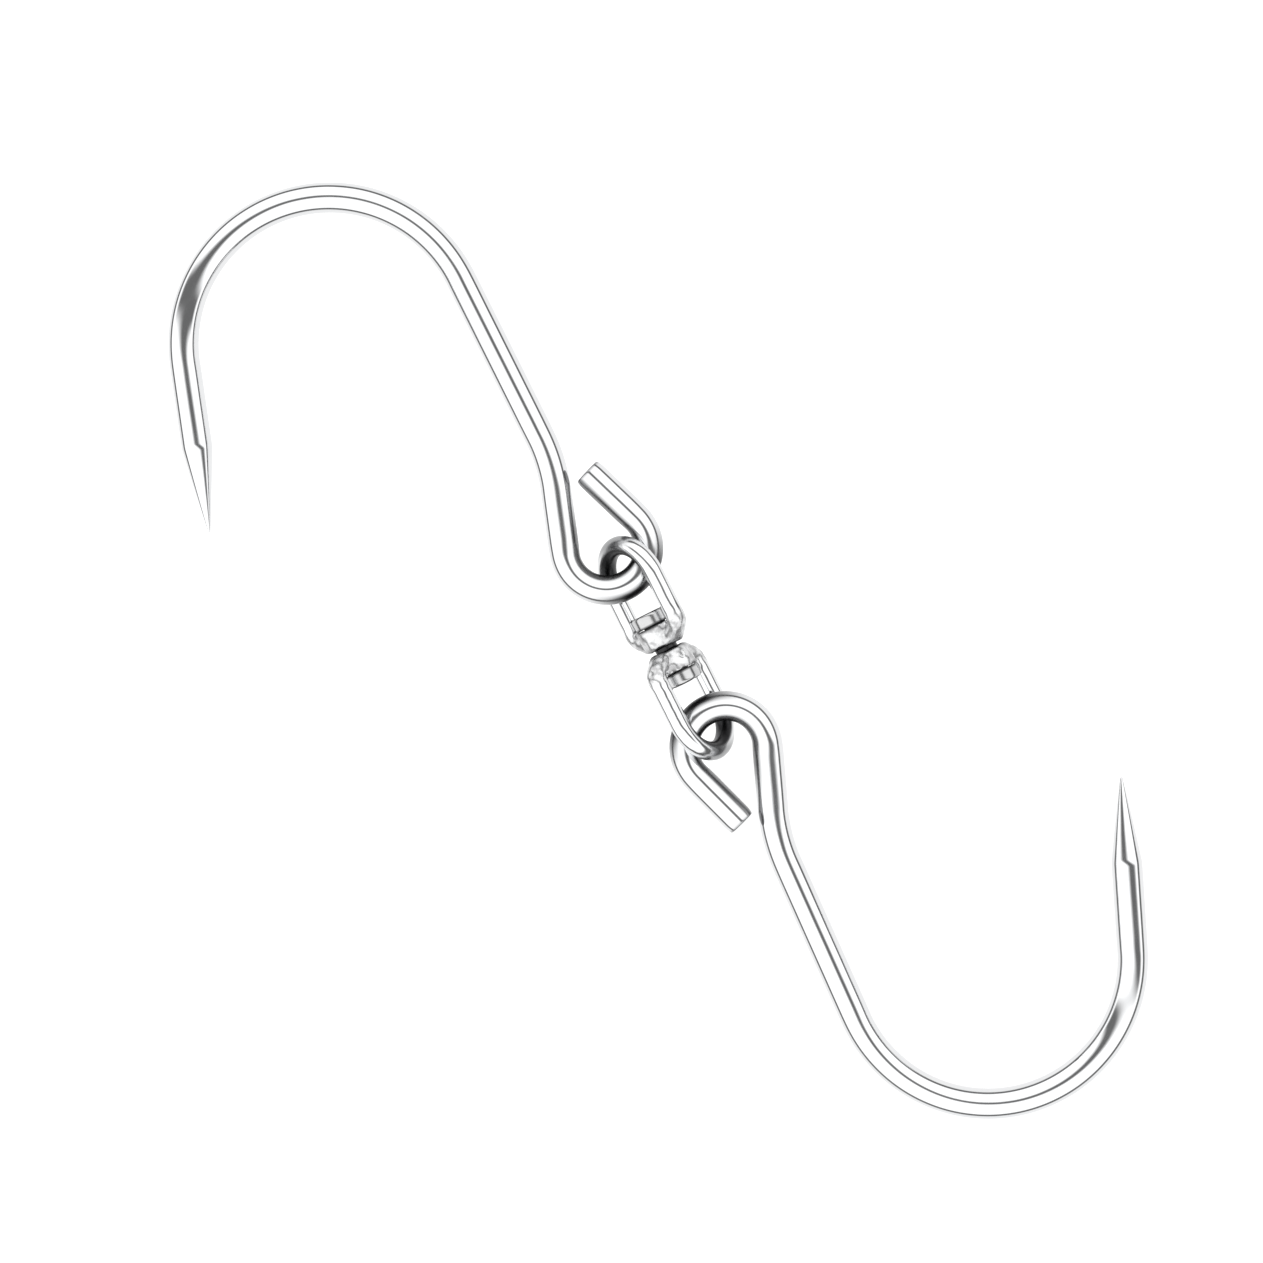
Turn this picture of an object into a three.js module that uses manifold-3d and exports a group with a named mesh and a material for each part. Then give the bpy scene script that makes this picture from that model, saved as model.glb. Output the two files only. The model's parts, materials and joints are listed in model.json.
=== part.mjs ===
// Swivel meat hook: two pointed rod hooks, joined eye to eye by a pinned swivel.
//
// Units are millimetres. The hook is shown hanging. +Z is up, the two hooks lie in the XZ plane,
// and the origin is the highest point inside the upper crook, where it bears on its rail.

import * as THREE from 'three';
import { mergeVertices } from 'three/addons/utils/BufferGeometryUtils.js';
import Module from 'manifold-3d';

const wasm = await Module();
wasm.setup();

// ---- Driving dimensions ----

const bearingLength = 300; // inside of the upper crook to inside of the lower crook

const rod = {
  radius: 4,
  sides: 16,
  taperLength: 22, // the ground point
  tipRadius: 0.35,
  tipRounding: 0.3,
  endChamfer: 0.5, // on the cut end of the tail
};

// Each hook is bent by hand, so the two differ a little. Lengths are straights, measured between
// the corners that the bends round off. Radii are to the centreline and turns are in degrees.
const upperHookForm = {
  pointLength: 43.7,
  crookRadius: 37.8,
  turnToSeat: 51.3, // from the pointed leg to the bearing point of the crook
  turnFromSeat: 110.4, // from there to the shank
  shankLength: 52.8,
  kinkTurn: 18.8,
  neckLength: 24.1,
  eyeRadius: 10.9,
  eyeTurn: 218.7,
  tailLength: 17.3,
};

const lowerHookForm = {
  pointLength: 44.6,
  crookRadius: 37.4,
  turnToSeat: 46.8,
  turnFromSeat: 112.9,
  shankLength: 51.1,
  kinkTurn: 19.2,
  neckLength: 24.2,
  eyeRadius: 10.8,
  eyeTurn: 220,
  tailLength: 16.8,
};

const kinkRadius = 45; // the soft bend between shank and neck

const swivel = {
  centre: new THREE.Vector3(1.9, 0, -151), // between the two hubs
  tilt: 20.4, // degrees from the vertical, leaning to +X at the top
  halfLength: 31.75, // centre to the outside of either eye
};

// A swivel eye: a round wire bow whose ends slant in and join a hub.
const swivelEye = {
  wireRadius: 2.5,
  sides: 12,
  limbOffset: 10.3, // swivel axis to the centreline of either limb
  elbowHeight: 5.4, // where the centrelines of limb and elbow meet
  elbowRadius: 3.2,
  elbowAngle: 55,
  elbowLength: 7,
  twist: 56, // degrees that the plane of the eye is turned from the plane of its hook
};

const hub = {
  faceHeight: 0.4, // from the swivel's centre to the face that meets the other hub
  seatHeight: 6.5, // from the swivel's centre to the face under the pin's head
  faceRadius: 4.7,
  seatRadius: 5.6,
  edgeChamfer: 0.4,
  boreRadius: 3.35,
  sides: 24,
};

const pin = {
  radius: 3,
  headRadius: 5,
  headHeight: 3.4,
  edgeChamfer: 0.35,
  clearance: 0.3, // under the head, under the collar, and round the end that the collar holds
  sides: 24,
};

const bendStep = 7.5; // degrees of a large bend between two rings of facets
const tightBendStep = 12; // the same for a small bend
const cutMargin = 1; // how far a cutting body runs past the faces that it cuts

// ---- Materials ----

const steel = (color, roughness) => new THREE.MeshStandardMaterial({ color, roughness, metalness: 1 });
const polishedRod = steel(0xc6c9cc, 0.16);
const polishedEye = steel(0xd2d4d6, 0.2);
const turnedPin = steel(0xbfc2c5, 0.26);

// ---- Bent rods ----

const radians = THREE.MathUtils.degToRad;

// The centreline of a bent rod in the XZ plane, laid down from one end. Headings are in radians
// from +X towards +Z, and a positive turn is towards the left.
class Centreline {
  constructor(start, headingDegrees) {
    this.pieces = [];
    this.rings = [];
    this.length = 0;
    this.end = { point: start, heading: radians(headingDegrees) };
  }

  add(length, turn, ringCount) {
    const piece = { start: this.end, from: this.length, length, turn };
    for (let i = 1; i <= ringCount; i += 1) {
      this.rings.push(this.length + (length * i) / ringCount);
    }
    this.pieces.push(piece);
    this.length += length;
    this.end = Centreline.along(piece, length);
    return this;
  }

  straight(length) {
    return this.add(length, 0, 1);
  }

  bend(radius, turnDegrees, step) {
    const turn = radians(turnDegrees);
    return this.add(radius * Math.abs(turn), turn, Math.ceil(Math.abs(turnDegrees) / step));
  }

  static along({ start, length, turn }, distance) {
    const turned = (turn * distance) / length;
    const chord = turn === 0 ? distance : (2 * length * Math.sin(turned / 2)) / turn;
    const direction = start.heading + turned / 2;
    const step = new THREE.Vector2(Math.cos(direction), Math.sin(direction)).multiplyScalar(chord);
    return { point: start.point.clone().add(step), heading: start.heading + turned };
  }

  at(distance) {
    const piece = this.pieces.find(({ from, length }) => distance <= from + length) ?? this.pieces.at(-1);
    return Centreline.along(piece, distance - piece.from);
  }
}

// A round bar turned to the profile [radius, distance], then bent so that its axis follows the
// centreline. The profile starts and ends on the axis.
function bentBar(centreline, profile, sides) {
  const outline = profile.map(([radius, distance]) => new THREE.Vector2(radius, distance));
  const geometry = new THREE.LatheGeometry(outline, sides);
  const { position } = geometry.attributes;
  for (let i = 0; i < position.count; i += 1) {
    const across = position.getX(i);
    const { point, heading } = centreline.at(position.getY(i));
    const x = point.x - across * Math.sin(heading);
    const z = point.y + across * Math.cos(heading);
    position.setXYZ(i, x, position.getZ(i), z);
  }
  return geometry;
}

// ---- Hooks ----

// The length that a bend takes from each of the two straights that meet at its corner.
const cornerLoss = (radius, turnDegrees) => radius * Math.tan(radians(turnDegrees) / 2);

// A hook in its own frame: the bearing point inside the crook is at the origin and the crook
// arches over it, with the pointed leg towards -X.
function hookGeometry(form) {
  const kinkLoss = cornerLoss(kinkRadius, form.kinkTurn);
  const line = new Centreline(new THREE.Vector2(0, 0), form.turnToSeat)
    .straight(form.pointLength)
    .bend(form.crookRadius, -form.turnToSeat, bendStep);
  const seat = line.end.point;
  line
    .bend(form.crookRadius, -form.turnFromSeat, bendStep)
    .straight(form.shankLength - kinkLoss)
    .bend(kinkRadius, -form.kinkTurn, bendStep)
    .straight(form.neckLength - kinkLoss)
    .bend(form.eyeRadius, form.eyeTurn, tightBendStep)
    .straight(form.tailLength);

  const fullRings = line.rings.slice(0, -1).map((distance) => [rod.radius, distance]);
  const profile = [
    [0, 0],
    [rod.tipRadius, rod.tipRounding],
    [rod.radius, rod.taperLength],
    ...fullRings,
    [rod.radius, line.length - rod.endChamfer],
    [rod.radius - rod.endChamfer, line.length],
    [0, line.length],
  ];
  const geometry = bentBar(line, profile, rod.sides);
  return geometry.translate(-seat.x, 0, rod.radius - seat.y);
}

function makeHook(name, form) {
  const mesh = new THREE.Mesh(hookGeometry(form), polishedRod);
  mesh.name = name;
  return mesh;
}

// ---- Solids for boolean cuts and joins ----

function toSolid(source) {
  const bare = source.clone();
  bare.deleteAttribute('normal');
  bare.deleteAttribute('uv');
  const merged = mergeVertices(bare, 1e-4);
  const corners = merged.index.array;
  const triangles = [];
  for (let i = 0; i < corners.length; i += 3) {
    const [a, b, c] = corners.slice(i, i + 3);
    if (a !== b && b !== c && c !== a) {
      triangles.push(a, b, c);
    }
  }
  const vertProperties = Float32Array.from(merged.attributes.position.array);
  const triVerts = Uint32Array.from(triangles);
  return new wasm.Manifold(new wasm.Mesh({ numProp: 3, vertProperties, triVerts }));
}

function toGeometry(solid) {
  const { vertProperties, triVerts } = solid.getMesh();
  const geometry = new THREE.BufferGeometry();
  geometry.setAttribute('position', new THREE.BufferAttribute(vertProperties, 3));
  geometry.setIndex(new THREE.BufferAttribute(triVerts, 1));
  geometry.computeVertexNormals();
  return geometry;
}

// A round body about the Z axis, from an outline of [radius, height] points.
function turned(outline, sides) {
  const points = outline.map(([radius, height]) => new THREE.Vector2(radius, height));
  return new THREE.LatheGeometry(points, sides).rotateX(Math.PI / 2);
}

// ---- Swivel ----

// The bow of a swivel eye, which stands on the hub in the XZ plane, with its two elbows.
function bowGeometry() {
  const { wireRadius, limbOffset, elbowAngle, elbowRadius, elbowLength } = swivelEye;
  const elbowLoss = cornerLoss(elbowRadius, elbowAngle);
  const crownHeight = swivel.halfLength - wireRadius - limbOffset;
  const limbLength = crownHeight - swivelEye.elbowHeight - elbowLoss;
  const corner = new THREE.Vector2(-limbOffset, swivelEye.elbowHeight);
  const inward = new THREE.Vector2(Math.sin(radians(elbowAngle)), -Math.cos(radians(elbowAngle)));
  const start = corner.add(inward.multiplyScalar(elbowLength));
  const line = new Centreline(start, 90 + elbowAngle)
    .straight(elbowLength - elbowLoss)
    .bend(elbowRadius, -elbowAngle, tightBendStep)
    .straight(limbLength)
    .bend(limbOffset, -180, tightBendStep)
    .straight(limbLength)
    .bend(elbowRadius, -elbowAngle, tightBendStep)
    .straight(elbowLength - elbowLoss);
  const rings = line.rings.map((distance) => [wireRadius, distance]);
  return bentBar(line, [[0, 0], [wireRadius, 0], ...rings, [0, line.length]], swivelEye.sides);
}

function hubGeometry() {
  const { faceHeight, seatHeight, faceRadius, seatRadius, edgeChamfer } = hub;
  return turned([
    [0, faceHeight],
    [faceRadius - edgeChamfer, faceHeight],
    [faceRadius, faceHeight + edgeChamfer],
    [seatRadius, seatHeight - edgeChamfer],
    [seatRadius - edgeChamfer, seatHeight],
    [0, seatHeight],
  ], hub.sides);
}

// The two cuts: the bore for the pin, and everything below the face of the hub.
function boreGeometry() {
  const top = hub.seatHeight + cutMargin;
  const outline = [[0, -cutMargin], [hub.boreRadius, -cutMargin], [hub.boreRadius, top], [0, top]];
  return turned(outline, hub.sides);
}

function belowFaceGeometry() {
  const size = 4 * swivelEye.limbOffset;
  return new THREE.BoxGeometry(size, size, size).translate(0, 0, hub.faceHeight - size / 2);
}

function swivelEyeGeometry() {
  const solid = toSolid(bowGeometry())
    .add(toSolid(hubGeometry()))
    .subtract(toSolid(boreGeometry()))
    .subtract(toSolid(belowFaceGeometry()));
  return toGeometry(solid);
}

// An eye stands up on its hub, or hangs down from it.
function makeSwivelEye(name, hangsDown) {
  const mesh = new THREE.Mesh(swivelEyeGeometry(), polishedEye);
  mesh.name = name;
  mesh.rotation.set(0, hangsDown ? Math.PI : 0, radians(-swivelEye.twist));
  return mesh;
}

// The pin runs down the swivel's axis, with its head above the upper hub.
const headUnderside = hub.seatHeight + pin.clearance;
const headTop = headUnderside + pin.headHeight;

function makePin() {
  const { radius, headRadius, edgeChamfer } = pin;
  const mesh = new THREE.Mesh(turned([
    [0, -headTop],
    [radius - edgeChamfer, -headTop],
    [radius, edgeChamfer - headTop],
    [radius, headUnderside],
    [headRadius, headUnderside],
    [headRadius, headTop - edgeChamfer],
    [headRadius - edgeChamfer, headTop],
    [0, headTop],
  ], pin.sides), turnedPin);
  mesh.name = 'swivel_pin';
  return mesh;
}

// The collar fixed to the pin's lower end is a ring of the same size as the head.
function makeCollar() {
  const { radius, headRadius, clearance, edgeChamfer } = pin;
  const outline = [
    [radius + clearance, -headTop],
    [headRadius - edgeChamfer, -headTop],
    [headRadius, edgeChamfer - headTop],
    [headRadius, -headUnderside],
    [radius + clearance, -headUnderside],
    [radius + clearance, -headTop],
  ];
  const mesh = new THREE.Mesh(turned(outline, pin.sides), turnedPin);
  mesh.name = 'pin_collar';
  return mesh;
}

// ---- Assembly ----

const upperHook = makeHook('upper_hook', upperHookForm);

const lowerHook = makeHook('lower_hook', lowerHookForm);
lowerHook.position.z = -bearingLength;
lowerHook.rotation.y = Math.PI;

const swivelGroup = new THREE.Group();
swivelGroup.position.copy(swivel.centre);
swivelGroup.rotation.y = radians(swivel.tilt);
swivelGroup.add(
  makeSwivelEye('upper_swivel_eye', false),
  makeSwivelEye('lower_swivel_eye', true),
  makePin(),
  makeCollar(),
);

const meatHook = new THREE.Group();
meatHook.add(upperHook, lowerHook, swivelGroup);

export default meatHook;
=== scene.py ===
import json
import math

import bmesh
import bpy
import numpy as np
from mathutils import Matrix, Vector


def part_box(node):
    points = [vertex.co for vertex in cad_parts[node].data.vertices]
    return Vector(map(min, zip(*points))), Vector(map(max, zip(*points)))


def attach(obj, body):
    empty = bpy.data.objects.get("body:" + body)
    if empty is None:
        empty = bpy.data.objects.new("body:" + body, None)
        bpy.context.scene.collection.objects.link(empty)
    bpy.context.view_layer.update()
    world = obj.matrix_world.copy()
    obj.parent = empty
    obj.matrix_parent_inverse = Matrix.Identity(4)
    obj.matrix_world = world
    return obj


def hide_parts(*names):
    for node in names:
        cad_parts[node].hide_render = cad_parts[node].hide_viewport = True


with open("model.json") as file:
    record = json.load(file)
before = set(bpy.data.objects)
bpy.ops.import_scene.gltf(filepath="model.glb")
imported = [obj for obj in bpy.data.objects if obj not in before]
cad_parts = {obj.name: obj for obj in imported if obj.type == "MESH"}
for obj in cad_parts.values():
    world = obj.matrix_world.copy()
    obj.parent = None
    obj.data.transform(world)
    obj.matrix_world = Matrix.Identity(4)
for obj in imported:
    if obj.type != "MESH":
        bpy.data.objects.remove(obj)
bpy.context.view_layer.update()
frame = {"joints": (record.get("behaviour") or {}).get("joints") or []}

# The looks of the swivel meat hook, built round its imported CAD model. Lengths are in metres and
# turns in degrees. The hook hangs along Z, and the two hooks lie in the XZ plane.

joints = {joint["name"]: joint for joint in frame["joints"]}

# ---- Sizes that the CAD model was bent and turned to ----

BEARING_LENGTH = 0.3  # inside of the upper crook to inside of the lower crook
rod_low, rod_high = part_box("upper_hook")
ROD_RADIUS = (rod_high.y - rod_low.y) / 2
KINK_RADIUS = 0.045

UPPER_HOOK = {
    "point_length": 0.0437, "crook_radius": 0.0378, "turn_to_seat": 51.3, "turn_from_seat": 110.4,
    "shank_length": 0.0528, "kink_turn": 18.8, "neck_length": 0.0241,
    "eye_radius": 0.0109, "eye_turn": 218.7, "tail_length": 0.0173,
}
LOWER_HOOK = {
    "point_length": 0.0446, "crook_radius": 0.0374, "turn_to_seat": 46.8, "turn_from_seat": 112.9,
    "shank_length": 0.0511, "kink_turn": 19.2, "neck_length": 0.0242,
    "eye_radius": 0.0108, "eye_turn": 220, "tail_length": 0.0168,
}

CUT_MARK = 0.0006  # how far the burnt skin of the cropped tail reaches
POINT = {"taper": 0.022, "tip_radius": 0.00035, "tip_rounding": 0.0003, "bulge": 0.06, "shoulder": 0.00012}
TAIL = {"edge_radius": 0.00045, "pinch": 0.00025, "pinch_reach": 0.0012}
BEND_FLATTENING = 0.11  # in the plane of the bend, for a bend as tight as the rod's own radius
BEND_WIDENING = 0.07  # square to the plane of the bend
BEND_BLEND = 9  # rings on each side over which that change is spread
# Where the hooks are darkened: the burnt cut at the tail is a real mark; the inside of the eye and the place
# where the swivel hangs are painted shade.
HOOK_BURN_AND_PAINTED_SHADE = {
    "cut": 0.75, "inside": 0.75,  # 1 is fully dark and rough: the burnt cut at the tail, painted shade in the other zones
    "inside_side": (0.45, 0.75), "inside_start": (-0.016, -0.004),
    "seat_side": (0.25, 0.7), "seat_reach": (0.014, 0.004),
}

swivel_centre = Vector(joints["pin_spin"]["pos_m"])
swivel_axis = Vector(joints["pin_spin"]["axis"])
swivel_tilt = math.atan2(swivel_axis.x, swivel_axis.z)
SWIVEL_HALF_LENGTH = 0.03175

EYE = {
    "wire_radius": 0.0025, "limb_offset": 0.0103, "elbow_height": 0.0054, "elbow_radius": 0.0032,
    "elbow_angle": 55, "elbow_length": 0.007, "twist": 56,
    "blend": 0.0016, "edge_blend": 0.0004, "bearing_height": 0.0165,
}
HUB = {
    "face_height": 0.0004, "seat_height": 0.0065, "face_radius": 0.0047, "seat_radius": 0.0056,
    "bore_radius": 0.0032, "face_blend": 0.001,
}
# Painted shade on the swivel eyes: darkens the inside of the crown, its top, and the hub's seat under the
# pin head and its face against the other hub.
EYE_PAINTED_SHADE = {
    "window_side": (-0.15, 0.25), "window_rise": 0.003, "top": 0.6, "top_depth": (0.0045, 0.001),
    "seat_width": 0.0006, "face_width": 0.0007,
}
CASTING = {"rough_below": 0.0085, "rough_fade": 0.001, "rough": 0.0001, "smooth": 0.00001}
DIMPLE = (0.0019, -0.005, 0.003)  # a casting mark in the lower hub
DIMPLE_PIT = {"depth": 0.0002, "radius": 0.0004}
DIMPLE_LIP = {"height": 0.00008, "radius": 0.00085, "width": 0.0003}
MESH_MARGIN = 0.0006
PIN = {
    "radius": 0.003, "head_radius": 0.005, "head_height": 0.0034, "clearance": 0.0003, "fillet": 0.0007,
}
# Painted shade on the pin: the shank, the underside of each head and the end of each head are darkened.
PIN_PAINTED_SHADE = {"underside": (0.0006, 0.0003), "end": 0.8, "end_depth": (0.0004, 0.0001)}


# ---- Meshes ----

def make_piece(name, points, faces, grain, raw, material, body, node):
    """A smooth piece that stands for a CAD node. Its material reads two values of each point: grain, its
    place on the raw piece before it was bent or placed, and raw, how far it is darkened and roughened: a
    burnt cut at a hook's tail, painted shade in the other places."""
    mesh = bpy.data.meshes.new(name)
    mesh.from_pydata(points.tolist(), [], faces)
    mesh.attributes.new("grain", "FLOAT_VECTOR", "POINT").data.foreach_set("vector", grain.ravel())
    mesh.attributes.new("raw", "FLOAT", "POINT").data.foreach_set("value", raw)
    mesh.polygons.foreach_set("use_smooth", [True] * len(faces))
    mesh.materials.append(material)
    piece = bpy.data.objects.new(name, mesh)
    bpy.context.scene.collection.objects.link(piece)
    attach(piece, body)
    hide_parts(node)
    return piece


def tube_faces(rings, sides):
    """Quads between rings of points, and a fan round the pole at each end. The poles come last."""
    faces = []
    for ring in range(rings - 1):
        for side in range(sides):
            a, b = ring * sides + side, ring * sides + (side + 1) % sides
            faces.append((a, a + sides, b + sides, b))
    first_pole, last_pole, last_ring = rings * sides, rings * sides + 1, (rings - 1) * sides
    for side in range(sides):
        after = (side + 1) % sides
        faces.append((first_pole, side, after))
        faces.append((last_pole, last_ring + after, last_ring + side))
    return faces


def filleted(corners, steps=8, longest=0.0003):
    """An outline of (radius, height, fillet) corners, with each fillet as an arc and no long steps."""
    places = np.array([corner[:2] for corner in corners], float)
    outline = [places[0]]
    for i in range(1, len(corners) - 1):
        here, fillet = places[i], corners[i][2]
        before = (places[i - 1] - here) / np.linalg.norm(places[i - 1] - here)
        after = (places[i + 1] - here) / np.linalg.norm(places[i + 1] - here)
        half = math.acos(np.clip(before @ after, -1, 1)) / 2
        middle = (before + after) / np.linalg.norm(before + after)
        centre = here + middle * fillet / math.sin(half)
        start, end = (here + way * fillet / math.tan(half) - centre for way in (before, after))
        first = math.atan2(start[1], start[0])
        turn = math.remainder(math.atan2(end[1], end[0]) - first, 2 * math.pi)
        angles = first + turn * np.linspace(0, 1, steps)
        outline.extend(centre + fillet * np.stack([np.cos(angles), np.sin(angles)], 1))
    outline.append(places[-1])
    parts = [outline[:1]]
    for first, last in zip(outline[:-1], outline[1:]):
        count = max(1, math.ceil(np.linalg.norm(last - first) / longest))
        parts.append(np.linspace(first, last, count + 1)[1:])
    return np.concatenate(parts)


# ---- Bent rods ----

class Centreline:
    """A line in the XZ plane, laid down from one end. Headings run from +X towards +Z, and a positive
    turn is to the left."""

    def __init__(self, start, heading):
        self.point, self.heading = np.array(start, float), math.radians(heading)
        self.length, self.pieces = 0.0, []

    def add(self, length, turn):
        self.pieces.append((self.length, self.point, self.heading, length, turn))
        self.point, self.heading = self.along(self.pieces[-1], length)
        self.length += length
        return self

    def straight(self, length):
        return self.add(length, 0.0)

    def bend(self, radius, turn):
        return self.add(radius * abs(math.radians(turn)), math.radians(turn))

    @staticmethod
    def along(piece, distance):
        _, point, heading, length, turn = piece
        turned = turn * distance / length
        chord = distance * np.sinc(turned / (2 * math.pi))
        direction = heading + turned / 2
        return point + chord * np.array([math.cos(direction), math.sin(direction)]), heading + turned

    def piece_at(self, distance):
        return [piece for piece in self.pieces if piece[0] <= max(distance, 0.0)][-1]

    def at(self, distance):
        piece = self.piece_at(distance)
        return self.along(piece, distance - piece[0])

    def curvature(self, distance):
        _, _, _, length, turn = self.piece_at(distance)
        return turn / length


def hook_line(form):
    """A hook's centreline, with the inside of its crook at the origin and its point towards -X."""
    loss = KINK_RADIUS * math.tan(math.radians(form["kink_turn"]) / 2)
    line = Centreline((0, 0), form["turn_to_seat"])
    line.straight(form["point_length"]).bend(form["crook_radius"], -form["turn_to_seat"])
    seat = line.point
    line.bend(form["crook_radius"], -form["turn_from_seat"])
    line.straight(form["shank_length"] - loss).bend(KINK_RADIUS, -form["kink_turn"])
    line.straight(form["neck_length"] - loss).bend(form["eye_radius"], form["eye_turn"])
    line.straight(form["tail_length"])
    return line, np.array([-seat[0], ROD_RADIUS - seat[1]])


def hook_profile(length):
    """The rod's (distance, radius) from its ground point to its cut tail."""
    nose = np.linspace(0, math.pi / 2, 8)[1:]
    rings = [(POINT["tip_rounding"] * (1 - math.cos(a)), POINT["tip_radius"] * math.sin(a)) for a in nose]
    edge = TAIL["edge_radius"]
    fine = np.arange(POINT["tip_rounding"] + 0.0002, POINT["taper"] + 0.004, 0.00025)
    coarse = np.linspace(fine[-1] + 0.0005, length - 0.004, 520)
    close = np.linspace(coarse[-1], length - edge, 16)[1:]
    for distance in np.concatenate([fine, coarse, close]):
        share = (distance - POINT["tip_rounding"]) / (POINT["taper"] - POINT["tip_rounding"])
        cone = POINT["tip_radius"] + (ROD_RADIUS - POINT["tip_radius"]) * share
        cone += POINT["bulge"] * share * (1 - share) * ROD_RADIUS
        rings.append((distance, -smooth_max(-cone, -ROD_RADIUS, POINT["shoulder"])))
    corner = np.linspace(0, math.pi / 2, 7)[1:]
    rings += [(length - edge * (1 - math.sin(a)), ROD_RADIUS - edge * (1 - math.cos(a))) for a in corner]
    rings += [(length, share * (ROD_RADIUS - edge)) for share in (0.9, 0.7, 0.5, 0.3, 0.12)]
    return np.array(rings)


def smooth_max(a, b, width):
    """The larger of two values, with the crease where they meet rounded over that width."""
    near = np.clip(0.5 + 0.5 * (a - b) / width, 0, 1)
    return b + (a - b) * near + width * near * (1 - near)


def rise(value, low, high):
    """From 0 at the low value to 1 at the high one, with soft ends."""
    share = np.clip((value - low) / (high - low), 0, 1)
    return share * share * (3 - 2 * share)


def hook_burn_and_shade_amount(form, length, grain):
    """The cropped end is burnt. Inside the eye and where the swivel hangs the rod is darkened as painted
    shade, and made rougher.
    """
    leftward, distance = grain[:, 0] / ROD_RADIUS, grain[:, 2]
    cut = HOOK_BURN_AND_PAINTED_SHADE["cut"] * np.exp(-((length - distance) / CUT_MARK) ** 2)
    eye_start = length - form["tail_length"] - form["eye_radius"] * math.radians(form["eye_turn"])
    # Painted shade inside the eye, where the swivel's eye passes through.
    inside = rise(leftward, *HOOK_BURN_AND_PAINTED_SHADE["inside_side"]) * rise(distance - eye_start, *HOOK_BURN_AND_PAINTED_SHADE["inside_start"])
    hanging_turn = math.radians(form["turn_from_seat"] + form["kink_turn"])
    hanging_place = eye_start + form["eye_radius"] * hanging_turn
    from_hanging_place = np.abs(distance - hanging_place)
    # Painted shade on the outer side of the eye, round the place where the swivel hangs.
    near_swivel = rise(-leftward, *HOOK_BURN_AND_PAINTED_SHADE["seat_side"]) * rise(from_hanging_place, *HOOK_BURN_AND_PAINTED_SHADE["seat_reach"])
    return np.maximum(cut, np.maximum(HOOK_BURN_AND_PAINTED_SHADE["inside"] * inside, near_swivel))


def make_hook(name, form, placement, material, body):
    line, shift = hook_line(form)
    profile = hook_profile(line.length)
    sides = 80
    around = np.arange(sides) * 2 * math.pi / sides
    squeeze = np.array([abs(line.curvature(distance)) * ROD_RADIUS for distance, _ in profile])
    blend = np.hanning(2 * BEND_BLEND + 1)
    squeeze = np.convolve(np.pad(squeeze, BEND_BLEND, mode="edge"), blend / blend.sum(), "valid")
    points, grain = [], []
    for (distance, radius), bent in zip(profile, squeeze):
        (x, z), heading = line.at(distance)
        from_end = (line.length - distance) / TAIL["pinch_reach"]
        pinch = 1 - TAIL["pinch"] / ROD_RADIUS * math.exp(-from_end ** 2) * np.cos(around) ** 2
        across = radius * pinch * (1 - BEND_FLATTENING * bent) * np.cos(around)
        out = radius * (1 + BEND_WIDENING * bent) * np.sin(around)
        ring = [x + shift[0] - across * math.sin(heading), out, z + shift[1] + across * math.cos(heading)]
        points.append(np.stack(ring, 1))
        raw = [radius * np.cos(around), radius * np.sin(around), np.full(sides, distance)]
        grain.append(np.stack(raw, 1))
    for distance in (0.0, line.length):
        (x, z), _ = line.at(distance)
        points.append(np.array([[x + shift[0], 0, z + shift[1]]]))
        grain.append(np.array([[0, 0, distance]]))
    points = np.concatenate(points) @ np.array(placement.to_3x3()).T + np.array(placement.translation)
    faces = tube_faces(len(profile), sides)
    grain = np.concatenate(grain)
    raw = hook_burn_and_shade_amount(form, line.length, grain)
    return make_piece(name, points, faces, grain, raw, material, body, body)


# ---- Swivel eyes ----

def segment_distance(x, z, start, end):
    """Distance in the XZ plane from a straight line between two points."""
    run = np.subtract(end, start)
    share = np.clip(((x - start[0]) * run[0] + (z - start[1]) * run[1]) / (run @ run), 0, 1)
    return np.hypot(x - start[0] - share * run[0], z - start[1] - share * run[1])


def bow_distance(x, y, z):
    """Distance from the surface of the eye's bow. The bow is the same on both sides."""
    x = np.abs(x)
    bend = math.radians(EYE["elbow_angle"])
    loss = EYE["elbow_radius"] * math.tan(bend / 2)
    crown = SWIVEL_HALF_LENGTH - EYE["wire_radius"] - EYE["limb_offset"]
    elbow_x, elbow_z = EYE["limb_offset"] - EYE["elbow_radius"], EYE["elbow_height"] + loss
    inward = np.array([-math.sin(bend), -math.cos(bend)])
    corner = np.array([EYE["limb_offset"], EYE["elbow_height"]])
    over = np.where(z > crown, np.abs(np.hypot(x, z - crown) - EYE["limb_offset"]), np.inf)
    limb = segment_distance(x, z, (EYE["limb_offset"], elbow_z), (EYE["limb_offset"], crown))
    turn = np.arctan2(z - elbow_z, x - elbow_x)
    on_elbow = (turn <= 0) & (turn >= -bend)
    elbow = np.abs(np.hypot(x - elbow_x, z - elbow_z) - EYE["elbow_radius"])
    elbow = np.where(on_elbow, elbow, np.inf)
    slant = segment_distance(x, z, corner + inward * loss, corner + inward * EYE["elbow_length"])
    flat = np.minimum(np.minimum(over, limb), np.minimum(elbow, slant))
    return np.hypot(flat, y) - EYE["wire_radius"]


def hub_distance(r, z):
    """Distance from the surface of the hub, a short barrel with round edges."""
    share = np.clip((z - HUB["face_height"]) / (HUB["seat_height"] - HUB["face_height"]), 0, 1)
    side = HUB["face_radius"] + (HUB["seat_radius"] - HUB["face_radius"]) * np.sin(share * math.pi / 2)
    return smooth_max(r - side, z - HUB["seat_height"], EYE["edge_blend"])


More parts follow.
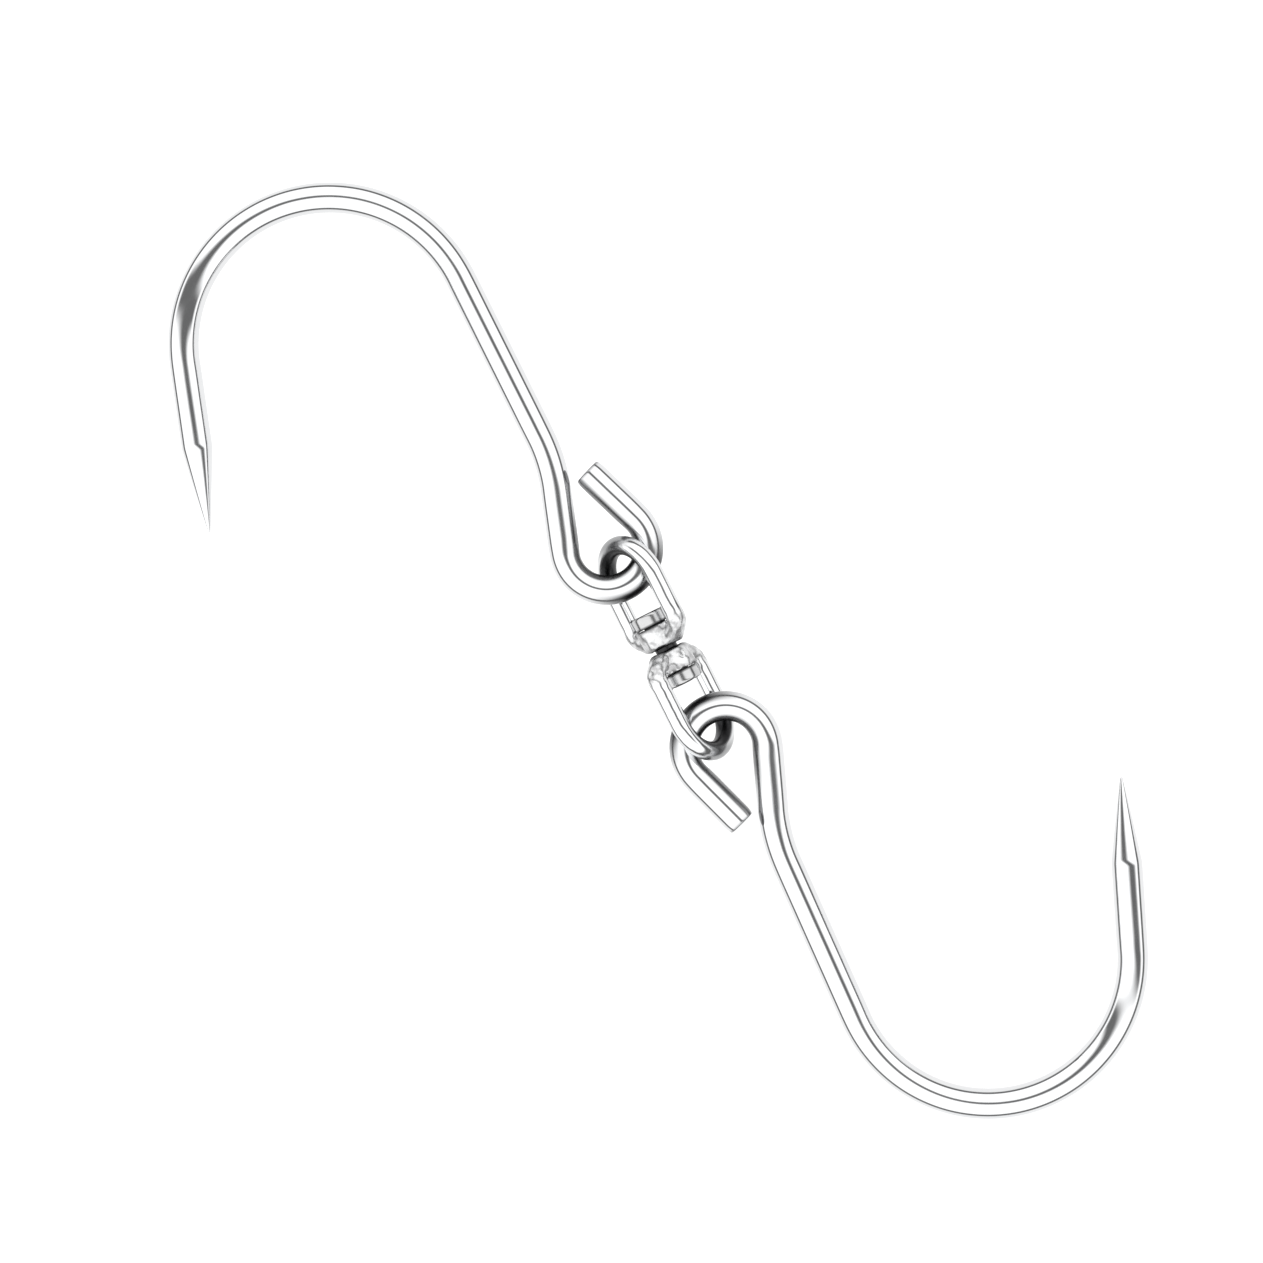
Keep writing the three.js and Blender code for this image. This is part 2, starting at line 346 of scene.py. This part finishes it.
def ripple(x, y, z, seed):
    """The unevenness of a casting, from -1 to 1, as a sum of waves."""
    draw = np.random.default_rng(seed)
    total = 0.0
    for _ in range(10):
        way = draw.normal(size=3)
        way *= 2 * math.pi / draw.uniform(0.0016, 0.0045) / np.linalg.norm(way)
        total = total + np.sin(way[0] * x + way[1] * y + way[2] * z + draw.uniform(0, 2 * math.pi))
    return total / 5


def eye_distance(points, seed, dimples):
    """Distance from the surface of a whole swivel eye, which stands on its hub in the XZ plane."""
    x, y, z = points[..., 0], points[..., 1], points[..., 2]
    r = np.hypot(x, y)
    joined = -smooth_max(-bow_distance(x, y, z), -hub_distance(r, z), EYE["blend"])
    bore = np.maximum(r - HUB["bore_radius"], z - 2 * HUB["seat_height"])
    bored = smooth_max(joined, -bore, EYE["edge_blend"])
    faced = smooth_max(bored, HUB["face_height"] - z, HUB["face_blend"])
    low_part = 1 / (1 + np.exp((z - CASTING["rough_below"]) / CASTING["rough_fade"]))
    rough = (CASTING["smooth"] + CASTING["rough"] * low_part) * ripple(x, y, z, seed)
    total = faced + rough
    for dimple in dimples:
        spot = np.linalg.norm(points - dimple, axis=-1)
        pit = DIMPLE_PIT["depth"] * np.exp(-(spot / DIMPLE_PIT["radius"]) ** 2)
        lip = DIMPLE_LIP["height"] * np.exp(-((spot - DIMPLE_LIP["radius"]) / DIMPLE_LIP["width"]) ** 2)
        total += pit - lip
    return total


def surface_net(distance, low, high, cell):
    """The closed surface on which distance() is 0, as points and quads, a point for each cell it crosses."""
    axes = [np.arange(a, b, cell) for a, b in zip(low, high)]
    values = distance(np.stack(np.meshgrid(*axes, indexing="ij"), -1))
    corners = {}
    for i in (0, 1):
        for j in (0, 1):
            for k in (0, 1):
                ends = [slice(s, size - 1 + s) for s, size in zip((i, j, k), values.shape)]
                corners[i, j, k] = values[tuple(ends)]
    below = sum((corner < 0).astype(int) for corner in corners.values())
    cells = np.argwhere((below > 0) & (below < 8))
    number = np.full(below.shape, -1)
    number[tuple(cells.T)] = np.arange(len(cells))
    crossings, count = np.zeros((len(cells), 3)), np.zeros(len(cells))
    for start, a in corners.items():
        for axis in range(3):
            if start[axis]:
                continue
            end = tuple(1 if n == axis else s for n, s in enumerate(start))
            first, last = a[tuple(cells.T)], corners[end][tuple(cells.T)]
            crossed = (first < 0) != (last < 0)
            share = first[crossed] / (first[crossed] - last[crossed])
            crossings[crossed] += start
            crossings[crossed, axis] += share
            count[crossed] += 1
    points = np.array(low) + cell * (cells + crossings / count[:, None])
    quads = []
    for axis in range(3):
        other, third = (axis + 1) % 3, (axis + 2) % 3
        near = np.moveaxis(values, (axis, other, third), (0, 1, 2))[:, 1:-1, 1:-1]
        around = np.moveaxis(number, (axis, other, third), (0, 1, 2))
        leaving = (near[:-1] < 0) & (near[1:] >= 0)
        entering = (near[:-1] >= 0) & (near[1:] < 0)
        ring = [around[:, :-1, :-1], around[:, 1:, :-1], around[:, 1:, 1:], around[:, :-1, 1:]]
        quads.append(np.stack([part[leaving] for part in ring], 1))
        quads.append(np.stack([part[entering] for part in ring[::-1]], 1))
    return points, np.concatenate(quads)


def gradient(distance, points):
    step = 1e-5
    slopes = []
    for axis in range(3):
        shift = np.zeros(3)
        shift[axis] = step
        slopes.append((distance(points + shift) - distance(points - shift)) / (2 * step))
    return np.stack(slopes, 1)


def settle(distance, points, quads, passes=4):
    """Evens out the spacing of a surface net's points and puts each on the exact surface."""
    edges = np.concatenate([quads[:, [i, (i + 1) % 4]] for i in range(4)])
    for _ in range(passes):
        total, count = np.zeros_like(points), np.zeros(len(points))
        np.add.at(total, edges[:, 0], points[edges[:, 1]])
        np.add.at(count, edges[:, 0], 1)
        points = 0.5 * points + 0.5 * total / count[:, None]
        for _ in range(2):
            slope = gradient(distance, points)
            points = points - distance(points)[:, None] * slope / (slope ** 2).sum(1)[:, None]
    slope = gradient(distance, points)
    return points, slope / np.linalg.norm(slope, axis=1)[:, None]


def eye_shade_amount(points):
    """Painted shade, with a rougher finish: darkens the inside of the crown, its top, and the hub's two
    ends, where the hub meets the pin's head and the other hub.
    """
    x, y, z = points.T
    crown = SWIVEL_HALF_LENGTH - EYE["wire_radius"] - EYE["limb_offset"]
    from_middle = np.where(z > crown, np.hypot(x, z - crown), np.abs(x))
    inward = (EYE["limb_offset"] - from_middle) / EYE["wire_radius"]
    above_bearing = z - EYE["bearing_height"]
    window = rise(inward, *EYE_PAINTED_SHADE["window_side"]) * rise(above_bearing, 0, EYE_PAINTED_SHADE["window_rise"])
    low, high = (SWIVEL_HALF_LENGTH - depth for depth in EYE_PAINTED_SHADE["top_depth"])
    top = EYE_PAINTED_SHADE["top"] * rise(z, low, high)
    seat = np.exp(-((z - HUB["seat_height"]) / EYE_PAINTED_SHADE["seat_width"]) ** 2)
    seat = seat * (np.hypot(x, y) < HUB["seat_radius"])
    face = np.exp(-((z - HUB["face_height"]) / EYE_PAINTED_SHADE["face_width"]) ** 2)
    return np.maximum(np.maximum(window, top), np.maximum(seat, face))


def make_eye(name, hangs_down, seed, dimples, material, body):
    def distance(points):
        return eye_distance(points, seed, dimples)

    reach = EYE["limb_offset"] + EYE["wire_radius"] + MESH_MARGIN
    depth = HUB["seat_radius"] + MESH_MARGIN
    height = SWIVEL_HALF_LENGTH + MESH_MARGIN
    cell = 0.00017
    points, quads = surface_net(distance, (-reach, -depth, -MESH_MARGIN), (reach, depth, height), cell)
    points, normals = settle(distance, points, quads)
    turn = Matrix.Rotation(swivel_tilt + (math.pi if hangs_down else 0), 4, "Y")
    turn = turn @ Matrix.Rotation(-math.radians(EYE["twist"]), 4, "Z")
    rotation = np.array(turn.to_3x3())
    placed = points @ rotation.T + np.array(swivel_centre)
    node = "lower_swivel_eye" if hangs_down else "upper_swivel_eye"
    raw = eye_shade_amount(points)
    piece = make_piece(name, placed, quads.tolist(), points, raw, material, body, node)
    piece.data.normals_split_custom_set_from_vertices((normals @ rotation.T).tolist())
    return piece


# ---- Pin and collar ----

def make_turned(name, outline, closed, material, node):
    """A round body about the swivel's axis, from an outline of (radius, height) points."""
    sides = 120
    around = np.arange(sides) * 2 * math.pi / sides
    rings = np.array(outline)
    if closed:
        rings = rings[:-1]
    grain = np.concatenate([
        np.stack([r * np.cos(around), r * np.sin(around), np.full(sides, z)], 1) for r, z in rings
    ])
    count = len(rings)
    faces = []
    for ring in range(count if closed else count - 1):
        for side in range(sides):
            a, b = ring * sides + side, ring * sides + (side + 1) % sides
            c, d = (ring + 1) % count * sides + (side + 1) % sides, (ring + 1) % count * sides + side
            faces.append((a, b, c, d))
    if not closed:
        faces.append(tuple(reversed(range(sides))))
        faces.append(tuple(range((count - 1) * sides, count * sides)))
    rotation = np.array(Matrix.Rotation(swivel_tilt, 3, "Y"))
    placed = grain @ rotation.T + np.array(swivel_centre)
    # Painted shade: darkens the shank, the underside of each head and the end of each head.
    from_underside = np.abs(grain[:, 2]) - HUB["seat_height"] - PIN["clearance"]
    low, high = (PIN["head_height"] - depth for depth in PIN_PAINTED_SHADE["end_depth"])
    underside, end = rise(from_underside, *PIN_PAINTED_SHADE["underside"]), rise(from_underside, low, high)
    raw = np.maximum(underside, PIN_PAINTED_SHADE["end"] * end)
    return make_piece(name, placed, faces, grain, raw, material, "pin", node)


def pin_outline():
    underside = HUB["seat_height"] + PIN["clearance"]
    top = underside + PIN["head_height"]
    radius, head, fillet = PIN["radius"], PIN["head_radius"], PIN["fillet"]
    return filleted([
        (0.0002, -top - 0.0002, 0),
        (radius - 0.0006, -top - 0.00015, 0.0004),
        (radius + 0.0004, -top + 0.0004, 0.0003),
        (radius, -top + 0.0011, 0.0003),
        (radius, underside, 0.0001),
        (head, underside, 0.00015),
        (head, top, fillet),
        (0.0014, top + 0.0001, 0.001),
        (0.0002, top - 0.0003, 0),
    ])


def collar_outline():
    underside = HUB["seat_height"] + PIN["clearance"]
    far = underside + PIN["head_height"]
    inner, outer, fillet = PIN["radius"] + 0.00006, PIN["head_radius"], PIN["fillet"]
    return filleted([
        (inner, -far + 0.002, 0),
        (inner, -far + 0.001, 0.0002),
        (inner + 0.0007, -far, 0.00012),
        (outer, -far, fillet),
        (outer, -underside, 0.00015),
        (inner, -underside, 0.00012),
        (inner, -far + 0.002, 0),
    ])


# ---- Materials ----

class Nodes:
    """Adds and joins shader nodes with short calls. Each call gives an output socket."""

    def __init__(self, tree):
        self.tree = tree
        tree.nodes.clear()

    def add(self, kind, inputs, output=0, **settings):
        node = self.tree.nodes.new("ShaderNode" + kind)
        for key, value in settings.items():
            setattr(node, key, value)
        for key, value in inputs.items():
            if isinstance(value, bpy.types.NodeSocket):
                self.tree.links.new(value, node.inputs[key])
            else:
                node.inputs[key].default_value = value
        return node.outputs[output]

    def math(self, operation, a, b=0.0):
        return self.add("Math", {0: a, 1: b}, operation=operation)

    def scaled(self, vector, x, y, z):
        return self.add("VectorMath", {0: vector, 1: (x, y, z)}, operation="MULTIPLY")

    def noise(self, vector, scale, detail=2.0, roughness=0.5):
        inputs = {"Vector": vector, "Scale": scale, "Detail": detail, "Roughness": roughness}
        return self.add("TexNoise", inputs, output="Fac")

    def ramp(self, value, low, high, at_low, at_high):
        """Goes smoothly from at_low, where the value is low, to at_high, where it is high."""
        inputs = {"Value": value, "From Min": low, "From Max": high, "To Min": at_low, "To Max": at_high}
        return self.add("MapRange", inputs, interpolation_type="SMOOTHSTEP")

    def mixed(self, share, first, second):
        return self.add("Mix", {0: share, 6: first, 7: second}, output=2, data_type="RGBA")

    def between(self, share, first, second):
        return self.add("Mix", {0: share, 2: first, 3: second}, output=0, data_type="FLOAT")

    def bump(self, height, distance, normal=None):
        inputs = {"Height": height, "Distance": distance, "Strength": 1.0}
        if normal is not None:
            inputs["Normal"] = normal
        return self.add("Bump", inputs)

    def finish(self, kind, shader):
        output = self.tree.nodes.new("ShaderNode" + kind)
        self.tree.links.new(shader, output.inputs["Surface"])


def steel(name, paint):
    """A bare metal. Paint gives its colour, roughness and normal from the grain coordinates. The raw
    attribute darkens and roughens it: a burnt cut on the hooks, painted shade everywhere else.
    """
    material = bpy.data.materials.new(name)
    material.use_nodes = True
    nodes = Nodes(material.node_tree)
    grain = nodes.add("Attribute", {}, output="Vector", attribute_name="grain")
    raw = nodes.add("Attribute", {}, output="Fac", attribute_name="raw")
    colour, roughness, normal = paint(nodes, grain)
    # Painted shade: where raw is set, apart from a hook's burnt cut, this dark colour stands in for shade
    # and dark reflections.
    skin_and_painted_shade = nodes.mixed(nodes.noise(grain, 900, 3), (0.03, 0.03, 0.032, 1), (0.08, 0.08, 0.082, 1))
    colour = nodes.mixed(raw, colour, skin_and_painted_shade)
    roughness = nodes.between(raw, roughness, 0.3)
    inputs = {"Base Color": colour, "Metallic": 1.0, "Roughness": roughness, "Normal": normal}
    nodes.finish("OutputMaterial", nodes.add("BsdfPrincipled", inputs))
    return material


def rod_paint(nodes, grain):
    lines = nodes.noise(nodes.scaled(grain, 1, 1, 0.012), 9000, 3)
    smears = nodes.noise(nodes.scaled(grain, 1, 1, 0.25), 350, 3)
    mottle = nodes.noise(grain, 130, 4, 0.6)
    colour = nodes.mixed(mottle, (0.80, 0.81, 0.825, 1), (0.87, 0.872, 0.875, 1))
    drawn, smeared = nodes.ramp(lines, 0.3, 0.7, 0.035, 0.075), nodes.ramp(smears, 0.4, 0.75, 0, 0.05)
    roughness = nodes.math("ADD", drawn, smeared)
    waves = nodes.noise(nodes.scaled(grain, 1, 1, 0.6), 180, 1)
    normal = nodes.bump(lines, 0.0000012, nodes.bump(smears, 0.0000025, nodes.bump(waves, 0.00002)))
    return colour, roughness, normal


def eye_paint(nodes, grain):
    waves = nodes.noise(grain, 420, 2)
    pits = nodes.noise(grain, 2400, 2)
    mottle = nodes.noise(grain, 160, 4, 0.6)
    colour = nodes.mixed(mottle, (0.82, 0.83, 0.84, 1), (0.88, 0.885, 0.89, 1))
    mottled, pitted = nodes.ramp(mottle, 0.35, 0.7, 0.05, 0.11), nodes.ramp(pits, 0.6, 0.75, 0, 0.1)
    roughness = nodes.math("ADD", mottled, pitted)
    height = nodes.add("SeparateXYZ", {0: grain}, output="Z")
    cast = nodes.ramp(height, 0.006, 0.009, 1, 0)
    blotches = nodes.ramp(nodes.noise(grain, 480, 2), 0.35, 0.6, 0, 1)
    blotches = nodes.mixed(blotches, (0.48, 0.48, 0.485, 1), (0.8, 0.805, 0.81, 1))
    colour = nodes.mixed(cast, colour, blotches)
    roughness = nodes.between(cast, roughness, 0.26)
    normal = nodes.bump(nodes.ramp(pits, 0.62, 0.75, 1, 0), 0.0000015, nodes.bump(waves, 0.000006))
    return colour, roughness, normal


def pin_paint(nodes, grain):
    x_y = nodes.scaled(grain, 1, 1, 0)
    radius = nodes.add("VectorMath", {0: x_y}, output="Value", operation="LENGTH")
    height = nodes.add("SeparateXYZ", {0: grain}, output="Z")
    rings = nodes.add("CombineXYZ", {"X": radius, "Z": height})
    lines = nodes.noise(rings, 7000, 3)
    mottle = nodes.noise(grain, 300, 4, 0.6)
    colour = nodes.mixed(mottle, (0.5, 0.502, 0.505, 1), (0.72, 0.722, 0.725, 1))
    turned, mottled = nodes.ramp(lines, 0.3, 0.7, 0.13, 0.2), nodes.ramp(mottle, 0.4, 0.8, 0, 0.05)
    roughness = nodes.math("ADD", turned, mottled)
    return colour, roughness, nodes.bump(lines, 0.000002)


# ---- Pieces ----

rod_steel = steel("rod_steel", rod_paint)
eye_steel = steel("eye_steel", eye_paint)
pin_steel = steel("pin_steel", pin_paint)

turned_over = Matrix.Translation((0, 0, -BEARING_LENGTH)) @ Matrix.Rotation(math.pi, 4, "Y")
make_hook("upper_hook_steel", UPPER_HOOK, Matrix.Identity(4), rod_steel, "upper_hook")
make_hook("lower_hook_steel", LOWER_HOOK, turned_over, rod_steel, "lower_hook")
make_eye("upper_swivel_eye_steel", False, 3, [], eye_steel, "upper_eye")
make_eye("lower_swivel_eye_steel", True, 8, [DIMPLE], eye_steel, "lower_eye")
make_turned("swivel_pin_steel", pin_outline(), False, pin_steel, "swivel_pin")
make_turned("pin_collar_steel", collar_outline(), True, pin_steel, "pin_collar")

# ---- Camera ----

FRAME_WIDTH = 0.3264  # at the plane of the hooks
AIM = Vector((-0.0011, 0, -0.1415))
ROLL = 46.94  # the hooks are laid out across the picture, turned from the vertical by this much

camera_data = bpy.data.cameras.new("camera")
camera_data.lens = 135
camera_data.sensor_width = 36
camera = bpy.data.objects.new("camera", camera_data)
bpy.context.scene.collection.objects.link(camera)
to_camera = Vector((0, -1, 0))
picture_up = Vector((math.sin(math.radians(ROLL)), 0, math.cos(math.radians(ROLL))))
picture_right = picture_up.cross(to_camera)
looking = Matrix((picture_right, picture_up, to_camera)).transposed().to_4x4()
distance = FRAME_WIDTH * camera_data.lens / camera_data.sensor_width
camera.matrix_world = Matrix.Translation(AIM + to_camera * distance) @ looking
bpy.context.scene.camera = camera

# ---- Floor and light ----

FLOOR_HEIGHT = -0.37
FLOOR_REACH = 6

floor_mesh = bpy.data.meshes.new("floor")
quarters = ((-1, -1), (1, -1), (1, 1), (-1, 1))
floor_corners = [(x * FLOOR_REACH, y * FLOOR_REACH, FLOOR_HEIGHT) for x, y in quarters]
floor_mesh.from_pydata(floor_corners, [], [(0, 1, 2, 3)])
floor = bpy.data.objects.new("floor", floor_mesh)
bpy.context.scene.collection.objects.link(floor)
floor.visible_glossy = False
floor_paint = bpy.data.materials.new("floor")
floor_paint.use_nodes = True
floor_paint.node_tree.nodes["Principled BSDF"].inputs["Base Color"].default_value = (0.9, 0.9, 0.9, 1)
floor_paint.node_tree.nodes["Principled BSDF"].inputs["Roughness"].default_value = 0.9
floor_mesh.materials.append(floor_paint)

# A plain soft studio: one white tent round the object, the same for every piece. The polished steel mirrors
# the tent's dark hem and one dark stand beside the camera. Past the hem the tent's back is a little dimmer.

TENT_RADIUS = 3.0
TENT_LIGHT = 1.35
TENT_AXIS = Vector((-0.15, -1, 0.1)).normalized()  # from the object to the middle of the tent's front
OPEN_ROOM_LIGHT = 1.3  # for the dull surfaces
BACK_LIGHT = 0.75
HEM_LEAN = 95  # degrees from the tent's axis
HEM_HALF_WIDTH = 9
HEM_SOFTNESS = 5
HEM_LIGHT = 0.1
STAND_SIDE = Vector((0.9, 0, 0.45)).normalized()  # square to the stand's length
STAND_OFFSET = 0.1  # as the sine of the angle past the middle of the front
STAND_HALF_WIDTH = 0.13
STAND_SOFTNESS = 0.08
STAND_LIGHT = 0.12
STAND_REACH = (60, 80)  # degrees from the tent's axis, where the stand fades out


def part_of(nodes, way, direction):
    """The cosine of the angle between two directions, the second of them fixed."""
    return nodes.add("VectorMath", {0: way, 1: direction}, output="Value", operation="DOT_PRODUCT")


def band(nodes, distance, half_width, softness):
    """1 in the middle of a band and 0 outside it."""
    return nodes.ramp(distance, half_width - softness, half_width + softness, 1, 0)


def tent_light(nodes):
    """The tent's brightness by direction."""
    place = nodes.add("TexCoord", {}, output="Object")
    way = nodes.add("VectorMath", {0: place}, operation="NORMALIZE")
    lean = nodes.math("DIVIDE", nodes.math("ARCCOSINE", part_of(nodes, way, TENT_AXIS)), math.radians(1))
    past_hem = nodes.math("SUBTRACT", lean, HEM_LEAN)
    past_stand = nodes.math("SUBTRACT", part_of(nodes, way, STAND_SIDE), STAND_OFFSET)
    across_stand = band(nodes, nodes.math("ABSOLUTE", past_stand), STAND_HALF_WIDTH, STAND_SOFTNESS)
    on_stand = nodes.math("MULTIPLY", across_stand, nodes.ramp(lean, *STAND_REACH, 1, 0))
    on_hem = band(nodes, nodes.math("ABSOLUTE", past_hem), HEM_HALF_WIDTH, HEM_SOFTNESS)
    white = nodes.ramp(past_hem, 0, HEM_HALF_WIDTH, 1, BACK_LIGHT)
    return nodes.between(on_hem, nodes.between(on_stand, white, STAND_LIGHT), HEM_LIGHT)


def make_tent():
    """A white sphere round the object that only shows mirrored in the steel."""
    shell = bmesh.new()
    bmesh.ops.create_icosphere(shell, subdivisions=5, radius=TENT_RADIUS)
    mesh = bpy.data.meshes.new("tent")
    shell.to_mesh(mesh)
    shell.free()
    tent = bpy.data.objects.new("tent", mesh)
    bpy.context.scene.collection.objects.link(tent)
    tent.location = AIM
    tent.visible_camera = False
    tent.visible_diffuse = False
    tent.visible_shadow = False
    material = bpy.data.materials.new("tent")
    material.use_nodes = True
    material.cycles.emission_sampling = "NONE"
    nodes = Nodes(material.node_tree)
    glow = nodes.add("Emission", {"Strength": nodes.math("MULTIPLY", tent_light(nodes), TENT_LIGHT)})
    nodes.finish("OutputMaterial", nodes.add("AddShader", {0: glow, 1: nodes.add("BsdfTransparent", {})}))
    mesh.materials.append(material)


make_tent()

world = bpy.data.worlds.new("world")
world.use_nodes = True
bpy.context.scene.world = world
sky = Nodes(world.node_tree)
mirrored = sky.add("LightPath", {}, output="Is Glossy Ray")
strength = sky.ramp(mirrored, 0, 1, OPEN_ROOM_LIGHT, 0)
sky.finish("OutputWorld", sky.add("Background", {"Color": (1, 1, 1, 1), "Strength": strength}))

bpy.context.scene.view_settings.view_transform = "Standard"
